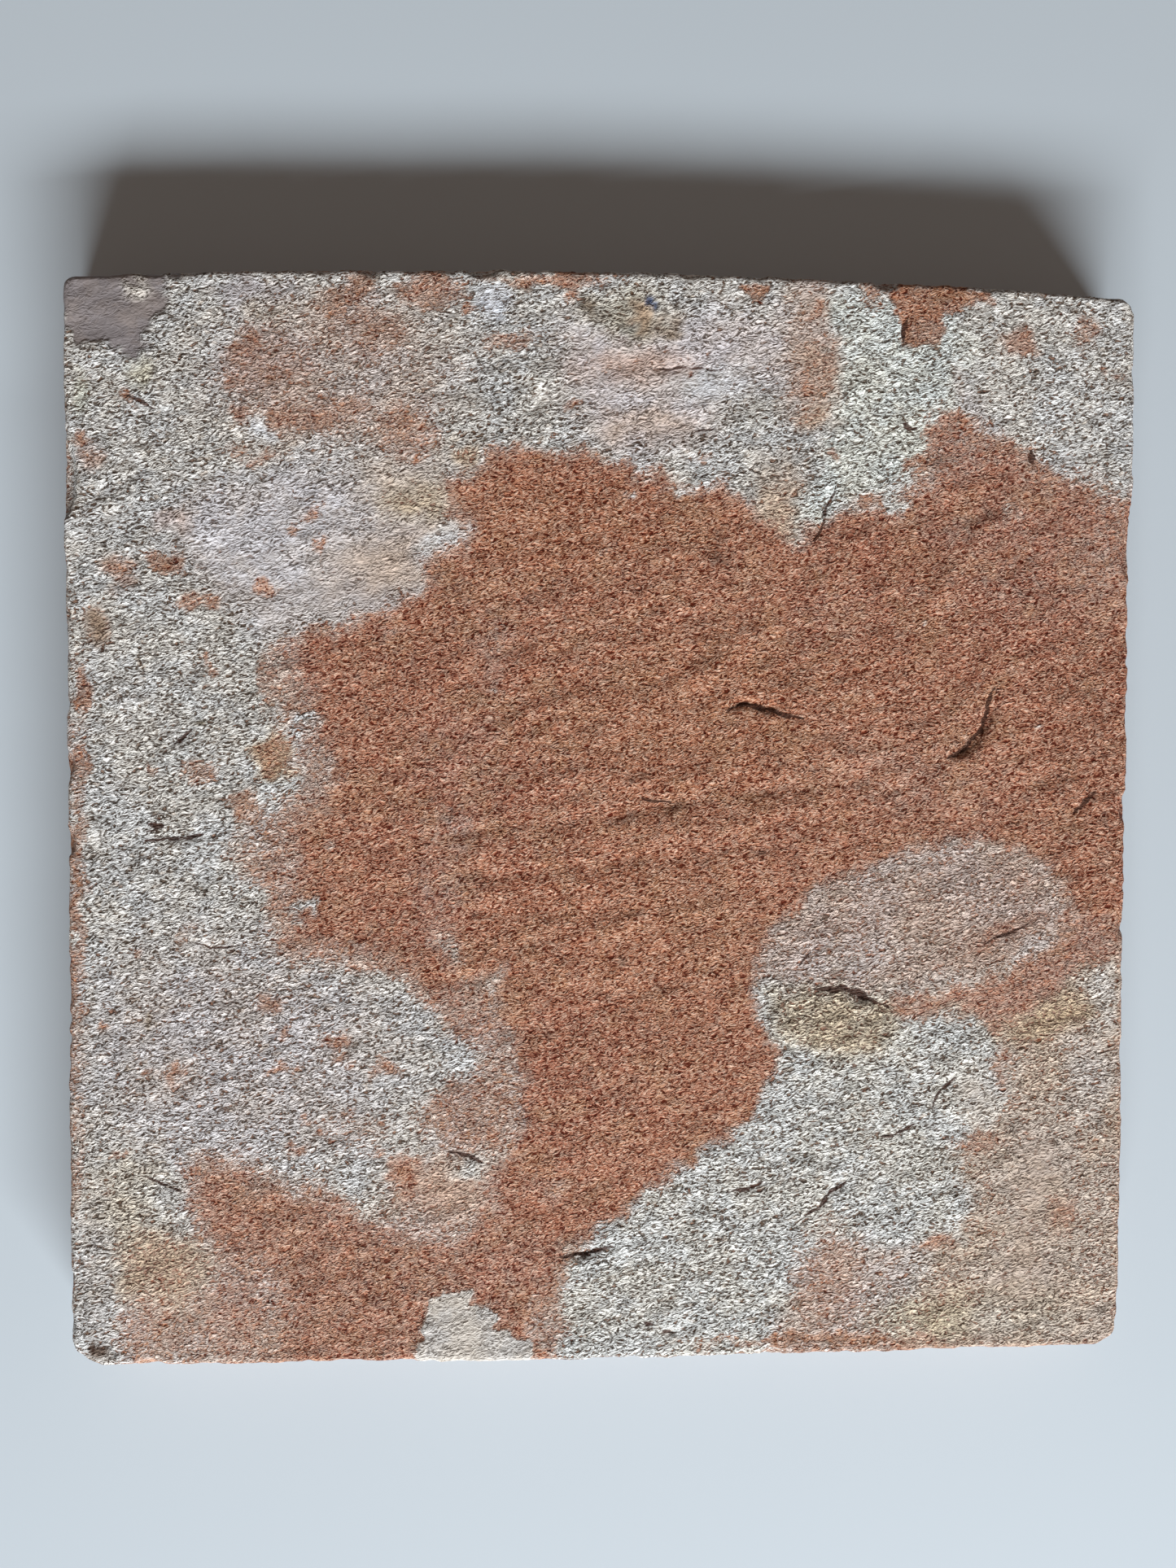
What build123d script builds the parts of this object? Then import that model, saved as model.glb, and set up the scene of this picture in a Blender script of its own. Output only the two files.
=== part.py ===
from build123d import *

import os

# A square wall tile of fired clay. It lies on its tin-glazed face, with the bare clay back up.
# Lengths are in millimetres. X runs to the right, Y to the rear and Z from the glaze up to the back.
# The origin is in the middle of the glazed face, on the surface that the tile lies on.

# Glazed face, measured from corner to corner
face_width = 130.0
face_length = 131.0
rear_bow = 2.0  # the rear edge was cut by hand and swells out this far between its corners
front_bow = 0.4

# Slab
thickness = 10.0
undercut = 1.15  # each side leans in this far towards the back, so that glazed edges can be set close
back_arris = 0.8  # worn round of the clay along the back's edge
glaze_arris = 0.5  # round of the glaze over the face's edge

# Corner rounds: two corners are nearly whole, and two have lost their points
rear_left_round = 1.5
rear_right_round = 1.8
front_right_round = 3.2
front_left_round = 4.5

# Chips along the back's edge, each a shell-shaped flake
long_chip_length = 11.0
long_chip_depth = 1.2
short_chip_length = 5.0
short_chip_depth = 0.85
long_chip_shares = {"right": [0.77], "left": [0.18]}  # places along each edge, counter-clockwise
short_chip_shares = {
    "front": [0.07, 0.66],
    "right": [0.41, 0.52],
    "rear": [0.24, 0.62],
    "left": [0.44, 0.51],
}

# Gouges drawn in the soft clay of the back: start, middle and end as shares of the half width and length
gouge_width = 1.1
gouge_depth = 0.7
gouge_lift = 0.1  # the tool's tip starts and ends this far above the clay
gouge_shares = [
    ((0.217, 0.236), (0.282, 0.236), (0.360, 0.211)),
    ((0.737, 0.266), (0.718, 0.190), (0.648, 0.127)),
]

# Pits left in two opposite corners of the face by the pins of the cutting board
pin_pit_radius = 0.6
pin_pit_depth = 1.2
pin_pit_inset = 8.0

half_width = face_width / 2
half_length = face_length / 2
centring = (front_bow - rear_bow) / 2  # brings the box of the bowed outline onto the origin


def corner_points(inset, height):
    x = half_width - inset
    y = half_length - inset
    return {
        "front_left": Vector(-x, centring - y, height),
        "front_right": Vector(x, centring - y, height),
        "rear_right": Vector(x, centring + y, height),
        "rear_left": Vector(-x, centring + y, height),
    }


def rim_edges(inset, height):
    at = corner_points(inset, height)
    front_middle = Vector(0, at["front_left"].Y - front_bow, height)
    rear_middle = Vector(0, at["rear_left"].Y + rear_bow, height)
    return {
        "front": ThreePointArc(at["front_left"], front_middle, at["front_right"]),
        "right": Line(at["front_right"], at["rear_right"]),
        "rear": ThreePointArc(at["rear_right"], rear_middle, at["rear_left"]),
        "left": Line(at["rear_left"], at["front_left"]),
    }


def outline(inset, height):
    rounds = {
        "front_left": front_left_round,
        "front_right": front_right_round,
        "rear_right": rear_right_round,
        "rear_left": rear_left_round,
    }
    shape = make_face([*rim_edges(inset, height).values()])
    for corner, point in corner_points(inset, height).items():
        shape = fillet(shape.vertices().sort_by_distance(point)[0], rounds[corner])
    return shape


def undercut_slab():
    slab = loft([outline(0, 0), outline(undercut, thickness)], ruled=True)
    slab = fillet(slab.edges().group_by(Axis.Z)[-1], back_arris)
    return fillet(slab.edges().group_by(Axis.Z)[0], glaze_arris)


def edge_chip(edge, share, length, depth):
    # A ball that bites to the chip's depth at the arris, with the chip's length as its chord there.
    radius = (length**2 / 4 + depth**2) / (2 * depth)
    outward = (edge % share).cross(Vector(0, 0, 1))
    away = (outward + Vector(0, 0, 1)).normalized()
    return Pos(edge @ share + away * (radius - depth)) * Sphere(radius)


def edge_chips():
    rim = rim_edges(undercut, thickness)
    kinds = [
        (long_chip_shares, long_chip_length, long_chip_depth),
        (short_chip_shares, short_chip_length, short_chip_depth),
    ]
    return [
        edge_chip(rim[side], share, length, depth)
        for places, length, depth in kinds
        for side, shares in places.items()
        for share in shares
    ]


def gouge(shares):
    # A round tip follows an arc that dips into the clay and comes out again.
    radius = gouge_width / 2
    drops = (-gouge_lift, gouge_depth, -gouge_lift)
    route = [
        Vector(
            across * (half_width - undercut),
            centring + along * (half_length - undercut),
            thickness + radius - drop,
        )
        for (across, along), drop in zip(shares, drops)
    ]
    path = ThreePointArc(*route)
    tip = Plane(path @ 0, z_dir=path % 0) * Circle(radius)
    return sweep(tip, path=path)


def pin_pit(across, along):
    place = Pos(
        across * (half_width - pin_pit_inset),
        centring + along * (half_length - pin_pit_inset),
        0,
    )
    upright = (Align.CENTER, Align.CENTER, Align.MIN)
    return place * Cone(pin_pit_radius, 0, pin_pit_depth, align=upright)


def tile():
    cuts = edge_chips()
    cuts += [gouge(shares) for shares in gouge_shares]
    cuts += [pin_pit(-1, 1), pin_pit(1, -1)]
    shape = undercut_slab()
    for cut in cuts:
        shape -= cut
    return shape


os.makedirs("parts", exist_ok=True)
export_step(tile(), "parts/tile.step")
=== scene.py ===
import math

import bpy
import numpy as np
from mathutils import Euler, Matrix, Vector, noise
from mathutils.bvhtree import BVHTree
from mathutils.geometry import delaunay_2d_cdt


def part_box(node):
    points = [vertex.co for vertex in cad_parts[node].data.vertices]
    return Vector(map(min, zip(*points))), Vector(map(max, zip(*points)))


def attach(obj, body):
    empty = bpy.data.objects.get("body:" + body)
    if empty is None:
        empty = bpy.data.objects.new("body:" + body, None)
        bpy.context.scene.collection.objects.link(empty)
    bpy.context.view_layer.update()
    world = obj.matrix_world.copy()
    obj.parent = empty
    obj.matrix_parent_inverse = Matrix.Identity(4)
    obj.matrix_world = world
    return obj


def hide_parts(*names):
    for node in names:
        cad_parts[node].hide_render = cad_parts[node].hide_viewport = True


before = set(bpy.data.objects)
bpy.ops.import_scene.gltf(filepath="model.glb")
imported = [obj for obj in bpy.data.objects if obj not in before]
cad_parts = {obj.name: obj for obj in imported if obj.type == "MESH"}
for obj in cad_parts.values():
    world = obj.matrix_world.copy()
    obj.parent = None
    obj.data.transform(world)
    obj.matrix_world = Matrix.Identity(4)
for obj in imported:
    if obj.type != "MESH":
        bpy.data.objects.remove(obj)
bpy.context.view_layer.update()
mm = 0.001
lowCorner, highCorner = [np.array(corner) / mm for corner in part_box("tile")]
tileTop = highCorner[2]
print("frame loaded, tile is", (highCorner - lowCorner).round(1), "mm")

# The camera looks down on the back, as the photograph does
view = {
    "imageSize": (1445, 1927),
    "place": (-9.35, 8.77, 151.5),  # mm
    "turn": (-1.7, -2.78, 0.22),  # degrees
    "lens": 27.27,  # mm
    "sensor": 36.0,  # mm, along the image's height
    "clipStart": 10.0,  # mm
    "scale": 10.3,  # pixels to a mm on the back
}


def viewTurn():
    return Euler([math.radians(angle) for angle in view["turn"]])


def makeCamera():
    data = bpy.data.cameras.new("camera")
    data.lens = view["lens"]
    data.sensor_width = view["sensor"]
    data.clip_start = view["clipStart"] * mm
    camera = bpy.data.objects.new("camera", data)
    camera.location = Vector(view["place"]) * mm
    camera.rotation_euler = viewTurn()
    bpy.context.scene.collection.objects.link(camera)
    bpy.context.scene.camera = camera


def toPhoto(points):  # mm in the tile's frame to pixels of the photograph
    width, height = view["imageSize"]
    seen = (points - np.array(view["place"])) @ np.array(viewTurn().to_matrix())
    focal = view["lens"] / view["sensor"] * height
    across = width / 2 - focal * seen[:, 0] / seen[:, 2]
    down = height / 2 + focal * seen[:, 1] / seen[:, 2]
    return np.stack([across, down], 1)


makeCamera()
print("camera set")

# The tile's skin: a fine grid on the back, rings over the worn edge and down the sides, and a coarser face
skin = {
    "cells": 256,  # along each edge of the back
    "rimInset": 3.0,  # mm from the edge to the back's grid
    "rimRings": 12,
    "sideRings": 10,
    "faceInset": 2.0,  # mm
    "faceRings": 5,
    "faceStep": 4.0,  # mm between points of the face
    "pitReach": 2.0,  # mm above the face, over the pin pits
    "weld": 1e-5,  # mm
    "grooveDepth": 0.3,  # mm of the gouges that the skin follows: the lines in cracks deepen them
    "outlineHeight": 7.5,  # mm, below every chip
}
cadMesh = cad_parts["tile"].data
cadPoints = [v.co / mm for v in cadMesh.vertices]
cadTree = BVHTree.FromPolygons(cadPoints, [p.vertices[:] for p in cadMesh.polygons])
farOff = 20.0  # mm, where rays start


def castRays(aims, outward):  # from outside towards the aims, onto the solid
    hits = np.array(aims)
    for i, (aim, way) in enumerate(zip(aims.tolist(), outward.tolist())):
        way = Vector(way)
        hit = cadTree.ray_cast(Vector(aim) + way * farOff, -way)[0]
        if hit:
            hits[i] = hit
    return hits


def edgeLoop(cells):  # counter-clockwise round a unit square, from its front left corner
    step = np.arange(cells) * 2 / cells - 1
    one = np.ones(cells)
    sides = [(step, -one), (one, step), (-step, one), (-one, -step)]
    return np.concatenate([np.stack(side, 1) for side in sides])


def flatTo(points, height):
    return np.column_stack([points, np.full(len(points), height)])


def coonsGrid(loop, cells):
    count = cells + 1
    front, right = loop[:count], loop[cells:2 * cells + 1]
    rear = loop[2 * cells:3 * cells + 1][::-1]
    left = np.concatenate([loop[3 * cells:], loop[:1]])[::-1]
    u = np.linspace(0, 1, count)[None, :, None]
    v = np.linspace(0, 1, count)[:, None, None]
    ruled = (1 - v) * front[None] + v * rear[None] + (1 - u) * left[:, None] + u * right[:, None]
    corners = (1 - u) * (1 - v) * front[0] + u * (1 - v) * front[-1]
    corners = corners + (1 - u) * v * rear[0] + u * v * rear[-1]
    return (ruled - corners).reshape(-1, 2)


def buildSkin():
    cells = skin["cells"]
    count = cells + 1
    square = edgeLoop(cells)
    inward = -square / np.linalg.norm(square, axis=1)[:, None]
    reach = (highCorner - lowCorner)[:2] / 2 - farOff / 2
    outline = castRays(flatTo(square * reach, skin["outlineHeight"]), flatTo(-inward, 0))[:, :2]
    rimAim = flatTo(outline + inward * skin["rimInset"], tileTop - skin["rimInset"])
    faceAim = flatTo(outline + inward * skin["faceInset"], skin["faceInset"])
    rings = []  # (aim, outward) of each ring, from the back's grid down to the face
    for angle in np.linspace(math.pi / 2, 0, skin["rimRings"] + 1):
        rings.append((rimAim, flatTo(-inward * math.cos(angle), math.sin(angle))))
    for height in np.linspace(rimAim[0, 2], faceAim[0, 2], skin["sideRings"] + 1)[1:]:
        rings.append((flatTo(faceAim[:, :2], height), flatTo(-inward, 0)))
    for angle in np.linspace(0, math.pi / 2, skin["faceRings"] + 1)[1:]:
        rings.append((faceAim, flatTo(-inward * math.cos(angle), -math.sin(angle))))
    hits = [castRays(aim, way) for aim, way in rings]
    grid = coonsGrid(hits[0][:, :2], cells)
    up = np.tile([0.0, 0.0, 1.0], (len(grid), 1))
    back = castRays(flatTo(grid, 0), up)
    inner = np.abs(grid).max(1) < np.abs(outline).max() - 2 * skin["rimInset"]
    back[inner, 2] = np.maximum(back[inner, 2], tileTop - skin["grooveDepth"])
    base = [back] + hits[1:]
    outward = [up] + [way for _, way in rings[1:]]
    rim = np.arange(cells)
    first = np.concatenate([rim, rim * count + cells, cells * count + cells - rim, (cells - rim) * count])
    loops = [first] + [len(grid) + k * 4 * cells + np.arange(4 * cells) for k in range(len(hits) - 1)]
    corner = (np.arange(cells)[:, None] * count + rim[None]).ravel()
    faces = np.stack([corner, corner + 1, corner + count + 1, corner + count], 1)
    belts = []
    for upper, lower in zip(loops, loops[1:]):
        belts.append(np.stack([upper, lower, np.roll(lower, -1), np.roll(upper, -1)], 1))
    return np.concatenate(base), np.concatenate(outward), faces, belts, loops


def fillFace(base, loop):  # points and triangles inside the last ring, on the glazed face
    step = skin["faceStep"]
    edge = [Vector(p[:2]) for p in base[loop]]
    low, high = base[loop].min(0) + step, base[loop].max(0) - step
    xs, ys = [np.arange(low[k], high[k], step) for k in range(2)]
    inner = [Vector((x + step / 2 * (row % 2), y)) for row, y in enumerate(ys) for x in xs]
    pits = [p for p in cadPoints if p.z < skin["pitReach"]]
    pits = [p.xy for p in pits if abs(p.x) < high[0] and low[1] < p.y < high[1]]
    points = edge + inner + pits
    ring = [(i, (i + 1) % len(edge)) for i in range(len(edge))]
    filled = delaunay_2d_cdt(points, ring, [], 1, skin["weld"])
    spots = flatTo(np.array([p[:] for p in filled[0]]), tileTop / 2)
    spots = castRays(spots, np.tile([0.0, 0.0, -1.0], (len(spots), 1)))
    known = {old: new for new, olds in enumerate(filled[3]) for old in olds if old < len(edge)}
    place = np.full(len(spots), -1)
    for old, new in known.items():
        place[new] = loop[old]
    fresh = np.flatnonzero(place < 0)
    place[fresh] = len(base) + np.arange(len(fresh))
    faces = [[int(place[i]) for i in reversed(face)] for face in filled[2]]
    return spots[fresh], faces


base, outward, backFaces, belts, loops = buildSkin()
facePoints, faceFaces = fillFace(base, loops[-1])
print("skin laid,", len(base) + len(facePoints), "points")


def spot(x, y, halfWide, halfHigh, feather, turn=0, **paint):
    return dict(paint, spot=(x, y, halfWide, halfHigh, turn), feather=feather)


# What lies on the back, painted in order. Outlines, spots (x, y, half width, half height) and feathers are
# in pixels of the photograph, turns in degrees, tints are screen colours, and thick is in mm.
# cover: lime on the clay, coarse: how crumbly, haze: lime dust, fresh: orange clay, stain: dark brown
plain = dict(cover=1.15, tint=(204, 204, 202), coarse=1.0, thick=0.1, haze=0.0, fresh=0.2, stain=0.0)
bare = dict(cover=-0.25, thick=0.0, coarse=0.85, fresh=0.0)
peeled = dict(cover=0.4, thick=0.05, fresh=0.35)  # clay showing through the lime
worn = dict(cover=0.62, thick=0.05, coarse=0.85, tint=(199, 183, 169), haze=0.3)  # thin lime, rubbed
tongueEdge = [(1380, 1159), (1336, 1183), (1303, 1216), (1238, 1250), (1215, 1262), (1184, 1240),
              (1127, 1254), (1098, 1237), (1184, 1219), (1262, 1192)]
ovalEdge = [(943, 1169), (965, 1135), (992, 1108), (1032, 1081), (1083, 1064), (1123, 1047),
            (1167, 1037), (1218, 1037), (1269, 1054), (1303, 1085), (1313, 1130)]
middle = [(557, 596), (587, 575), (606, 553), (642, 552), (704, 555), (763, 572), (815, 587), (851, 604),
          (895, 604), (915, 623), (938, 643), (964, 656), (988, 674), (1012, 645), (1045, 632),
          (1080, 628), (1112, 612), (1142, 588), (1150, 556), (1160, 515), (1176, 509), (1193, 530),
          (1239, 548), (1281, 583), (1326, 607), (1379, 632), (1440, 660), (1440, 1145), *tongueEdge,
          (1300, 1158), *ovalEdge[::-1], (928, 1225), (945, 1270), (960, 1310), (930, 1370),
          (880, 1410), (820, 1450), (760, 1500), (700, 1540), (690, 1600), (640, 1720), (520, 1720),
          (590, 1520), (602, 1450), (640, 1400), (640, 1330), (610, 1290), (582, 1266), (560, 1244),
          (539, 1228), (510, 1205), (480, 1190), (441, 1186), (412, 1168), (371, 1174), (352, 1160),
          (345, 1110), (330, 1075), (346, 1040), (354, 1000), (390, 985), (408, 950), (385, 903),
          (372, 880), (356, 862), (352, 824), (347, 793), (430, 765), (510, 735), (527, 719), (537, 686),
          (563, 676), (583, 653), (570, 629)]
specks = [(331, 1232, 7), (348, 1275, 5), (415, 1280, 10), (418, 1305, 5), (339, 1316, 5),
          (362, 1317, 4), (222, 1315, 5), (210, 1327, 7), (476, 1315, 9), (128, 1267, 4), (166, 1178, 6),
          (395, 1392, 5), (368, 1416, 7), (462, 1420, 7), (430, 1369, 5), (378, 1371, 4), (188, 1318, 4),
          (140, 1420, 4), (155, 1423, 4), (126, 1468, 7), (184, 945, 5), (257, 819, 5), (236, 740, 7),
          (262, 733, 6), (312, 716, 7), (326, 731, 7), (245, 693, 4), (700, 495, 5)]
patches = [
    # smooth skim and greyer lime of the upper left
    dict(outline=[(205, 625), (260, 590), (380, 570), (470, 590), (540, 615), (570, 660), (500, 740),
                  (345, 785), (300, 760), (235, 700)],
         feather=30, coarse=0.42, tint=(198, 195, 197)),
    spot(485, 690, 75, 42, 34, turn=-15, tint=(192, 177, 166), coarse=0.34),
    spot(500, 590, 60, 35, 32, tint=(197, 184, 173), coarse=0.5),
    spot(545, 668, 34, 16, 8, turn=-20, tint=(208, 207, 207), coarse=0.5),
    spot(210, 640, 16, 14, 12, tint=(192, 176, 170)),
    spot(307, 356, 44, 18, 14, tint=(186, 181, 183), coarse=0.45),
    spot(328, 390, 24, 18, 14, tint=(199, 189, 170)),
    spot(163, 446, 14, 20, 10, tint=(196, 197, 190), coarse=0.4),
    spot(106, 560, 18, 16, 10, tint=(196, 178, 168), cover=0.8),
    dict(outline=[(60, 320), (200, 330), (207, 345), (196, 372), (180, 408), (163, 432), (140, 424),
                  (116, 414), (80, 414)],
         feather=4, tint=(133, 126, 126), coarse=0.12, cover=1.5, thick=0.0),
    spot(168, 350, 16, 9, 6, tint=(205, 202, 198), coarse=1.0),
    # mottled upper left, where the lime flaked
    spot(410, 455, 150, 105, 50, cover=0.86, tint=(200, 192, 187)),
    spot(328, 446, 54, 38, 22, cover=0.68, fresh=0.0, tint=(190, 178, 173)),
    spot(300, 424, 16, 20, 10, cover=0.42, fresh=0.1),
    spot(288, 470, 14, 11, 8, cover=0.45, fresh=0.1),
    spot(340, 456, 20, 11, 10, cover=0.5, fresh=0.1),
    spot(380, 508, 64, 26, 18, cover=0.58, fresh=0.3),
    spot(350, 507, 28, 10, 9, cover=0.3, fresh=0.3),
    spot(398, 512, 17, 12, 9, cover=0.35, fresh=0.4),
    spot(430, 498, 14, 8, 8, cover=0.42, fresh=0.4),
    spot(290, 504, 13, 10, 7, cover=0.35, fresh=0.2, stain=0.1),
    spot(317, 529, 15, 12, 9, tint=(205, 208, 213), coarse=0.5, cover=1.2),
    spot(500, 528, 42, 34, 20, cover=0.5, fresh=0.4),
    spot(312, 556, 28, 7, 7, cover=0.5, fresh=0.2),
    spot(385, 629, 12, 13, 7, turn=40, cover=0.5, fresh=0.3),
    spot(359, 651, 7, 10, 6, cover=0.5, fresh=0.5, stain=0.1),
    spot(395, 667, 7, 14, 6, cover=0.5, fresh=0.3),
    spot(98, 480, 15, 20, 11, tint=(196, 199, 190), coarse=0.6),
    spot(170, 455, 11, 16, 9, tint=(200, 198, 184)),
    spot(412, 374, 14, 24, 9, **peeled),
    spot(438, 352, 24, 22, 12, **peeled),
    spot(530, 352, 42, 22, 13, **peeled),
    spot(445, 405, 55, 30, 24, cover=0.7, fresh=0.4),
    spot(94, 532, 11, 12, 7, cover=0.25, fresh=0.5),
    spot(155, 484, 11, 13, 7, cover=0.35, fresh=0.4),
    spot(200, 691, 20, 18, 9, cover=0.3, thick=0.0, fresh=0.2, stain=0.06),
    spot(142, 698, 20, 14, 12, **worn),
    spot(118, 768, 18, 24, 12, cover=0.5, thick=0.02, fresh=0.0, stain=0.12, coarse=0.6),
    # top middle
    spot(670, 340, 76, 9, 7, cover=0.3, fresh=0.4),
    spot(698, 362, 12, 17, 8, cover=0.42, fresh=0.5),
    spot(576, 377, 11, 8, 6, cover=0.4, fresh=0.4),
    spot(466, 404, 28, 20, 13, cover=0.52, fresh=0.2),
    spot(610, 364, 19, 18, 10, tint=(203, 207, 214), coarse=0.4, cover=1.15),
    spot(626, 416, 32, 12, 10, turn=-12, cover=0.42, fresh=0.4),
    dict(outline=[(690, 400), (760, 395), (900, 380), (1000, 390), (1010, 470), (900, 470), (880, 520),
                  (800, 560), (720, 530), (690, 450)],
         feather=32, tint=(205, 199, 200), coarse=0.4),
    spot(785, 448, 66, 18, 15, tint=(197, 178, 171), coarse=0.4, cover=0.9),
    spot(796, 520, 54, 17, 13, tint=(198, 181, 170), coarse=0.45),
    spot(872, 472, 40, 24, 16, tint=(206, 206, 208), coarse=0.4),
    spot(513, 618, 44, 25, 22, tint=(196, 182, 161), coarse=0.6, cover=0.86),
    spot(566, 555, 16, 15, 11, tint=(195, 180, 160), cover=0.8),
    spot(775, 384, 48, 30, 18, tint=(186, 182, 170), coarse=0.85),
    spot(732, 378, 13, 7, 6, turn=20, tint=(138, 126, 112), coarse=0.5),
    spot(784, 388, 16, 15, 8, tint=(168, 148, 128), coarse=0.4),
    spot(770, 402, 9, 9, 6, tint=(150, 148, 140)),
    spot(820, 402, 18, 8, 6, tint=(168, 154, 140), coarse=0.5),
    spot(798, 371, 6, 9, 4, turn=-10, tint=(70, 86, 122), cover=1.3, coarse=0.4),
    spot(806, 384, 6, 6, 4, tint=(84, 96, 124), cover=1.3, coarse=0.4),
    spot(928, 356, 12, 7, 5, cover=0.25, fresh=0.4, stain=0.15),
    spot(965, 620, 36, 52, 28, tint=(197, 180, 163), coarse=0.7, cover=0.88),
    spot(905, 626, 30, 18, 12, turn=35, cover=0.6, tint=(194, 180, 176), coarse=0.6),
    spot(865, 562, 16, 10, 8, cover=0.58, fresh=0.6),
    # upper right
    dict(outline=[(965, 340), (1020, 350), (1035, 420), (1030, 500), (1000, 520), (960, 500)],
         feather=24, cover=0.88, tint=(199, 188, 181), coarse=0.55, fresh=0.3),
    spot(1005, 384, 14, 9, 8, cover=0.42, fresh=0.3),
    spot(1006, 450, 30, 40, 20, cover=0.7, tint=(193, 176, 164), coarse=0.6),
    spot(993, 479, 14, 9, 8, cover=0.42, fresh=0.3),
    spot(998, 514, 22, 12, 11, cover=0.7, tint=(195, 178, 160)),
    dict(outline=[(1024, 365), (1100, 360), (1190, 400), (1190, 510), (1150, 545), (1110, 590),
                  (1030, 610), (1005, 640), (985, 620), (1030, 520), (1035, 430)],
         feather=14, tint=(214, 219, 215), coarse=0.85, thick=0.2, cover=1.15),
    spot(1032, 554, 7, 10, 5, cover=0.25, fresh=0.4, stain=0.1),
    spot(1077, 360, 21, 11, 9, cover=0.5, fresh=0.4),
    dict(outline=[(1108, 345), (1215, 358), (1215, 374), (1164, 380), (1158, 408), (1130, 424),
                  (1112, 416)],
         feather=8, cover=0.1, thick=0.03, fresh=0.35),
    spot(1142, 404, 14, 14, 9, cover=0.5, tint=(194, 178, 168)),
    dict(outline=[(1176, 449), (1200, 470), (1239, 530), (1225, 542), (1193, 520), (1180, 485)],
         feather=15, tint=(196, 189, 189), coarse=0.5),
    spot(1290, 470, 90, 90, 50, tint=(210, 210, 208), coarse=0.9, cover=1.04),
    spot(1248, 417, 20, 16, 12, cover=0.62, tint=(194, 180, 174)),
    spot(1262, 425, 10, 6, 5, **peeled),
    spot(1335, 402, 15, 24, 11, cover=0.55, stain=0.2, fresh=0.1),
    spot(1358, 452, 6, 5, 4, cover=0.4, stain=0.6, fresh=0.0),
    spot(1377, 459, 8, 5, 4, cover=0.4, stain=0.6, fresh=0.0),
    spot(1148, 530, 16, 11, 8, cover=0.3, fresh=0.0),
    spot(1127, 566, 15, 8, 6, turn=-35, cover=0.22, fresh=0.4),
    # left side
    spot(141, 701, 20, 20, 12, cover=0.6, tint=(194, 178, 170), coarse=0.7),
    spot(116, 771, 15, 22, 10, cover=1.0, thick=0.02, tint=(164, 145, 128), coarse=0.5),
    spot(98, 850, 13, 27, 8, cover=0.25, fresh=0.5),
    spot(98, 936, 9, 18, 6, cover=0.45, stain=0.2),
    spot(92, 1190, 11, 330, 9, cover=0.5, fresh=0.5, stain=0.12),
    spot(142, 860, 32, 9, 6, tint=(220, 220, 219)),
    spot(247, 736, 24, 9, 9, cover=0.6, fresh=0.5),
    spot(320, 723, 16, 14, 9, cover=0.55, fresh=0.3),
    spot(331, 836, 12, 36, 10, cover=0.56, haze=0.5),
    spot(334, 930, 25, 29, 10, cover=0.4, fresh=0.9, tint=(204, 191, 164)),
    spot(305, 986, 20, 27, 11, cover=0.45, fresh=0.7),
    spot(325, 1050, 44, 46, 26, cover=0.6, fresh=0.3),
    spot(238, 949, 18, 13, 9, cover=0.52, fresh=0.3),
    spot(230, 1151, 15, 8, 8, cover=0.62, fresh=0.6),
    spot(239, 889, 9, 4, 4, tint=(120, 110, 84), stain=0.5),
    # lower left
    spot(290, 1300, 200, 140, 80, tint=(198, 194, 194), cover=0.98),
    spot(181, 1258, 9, 3, 4, turn=20, tint=(150, 136, 116), stain=0.2),
    *[spot(x, y, 1.4 * size, size, size, cover=0.2, thick=0.04, fresh=0.4) for x, y, size in specks],
    spot(440, 1390, 50, 26, 22, cover=0.8),
    spot(150, 1470, 50, 60, 36, tint=(199, 193, 182)),
    dict(outline=[(236, 1440), (272, 1431), (325, 1450), (366, 1464), (411, 1473), (444, 1493),
                  (468, 1503), (510, 1514), (560, 1520), (640, 1520), (640, 1720), (330, 1720),
                  (338, 1640), (338, 1591), (318, 1567), (264, 1542), (240, 1500)],
         feather=40, cover=0.1, thick=0.0, coarse=1.0, fresh=0.1, haze=0.25),
    spot(345, 1476, 110, 26, 16, turn=12, coarse=1.15),
    spot(285, 1616, 60, 70, 40, cover=0.4, haze=0.6, coarse=0.75, fresh=0.0),
    spot(193, 1640, 64, 50, 36, cover=0.52, fresh=0.3, coarse=0.7, haze=0.6),
    spot(195, 1560, 58, 48, 28, cover=0.7, tint=(192, 180, 162)),
    spot(115, 1560, 20, 110, 14, cover=1.1, tint=(193, 189, 185)),
    spot(118, 1668, 14, 9, 5, stain=0.5, cover=1.2, tint=(120, 108, 98)),
    # bare middle, with what still clings to it
    dict(outline=middle, feather=24, **bare),
    spot(700, 640, 150, 60, 50, fresh=0.25),
    spot(880, 890, 190, 110, 80, fresh=0.25),
    spot(760, 1130, 150, 100, 70, fresh=0.2),
    spot(1345, 930, 60, 140, 50, coarse=1.0, stain=0.08),
    spot(362, 850, 24, 60, 18, cover=0.5, haze=0.4),
    spot(350, 1070, 26, 70, 20, cover=0.5, haze=0.3),
    spot(420, 1172, 80, 18, 16, turn=5, cover=0.52, haze=0.3),
    spot(545, 1162, 15, 30, 11, turn=-35, cover=0.8),
    spot(606, 1215, 13, 30, 10, turn=15, cover=0.72),
    spot(575, 1240, 40, 40, 22, cover=0.45, haze=0.3),
    spot(619, 1278, 9, 26, 8, turn=-15, cover=0.72),
    spot(615, 1340, 30, 75, 20, cover=0.55, haze=0.4),
    spot(572, 1375, 58, 46, 24, cover=0.44, fresh=0.3, haze=0.2),
    spot(545, 1470, 66, 50, 34, cover=0.7, tint=(196, 178, 166), coarse=0.6, haze=0.5),
    spot(496, 1448, 17, 25, 10, cover=0.2, fresh=0.3),
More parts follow.
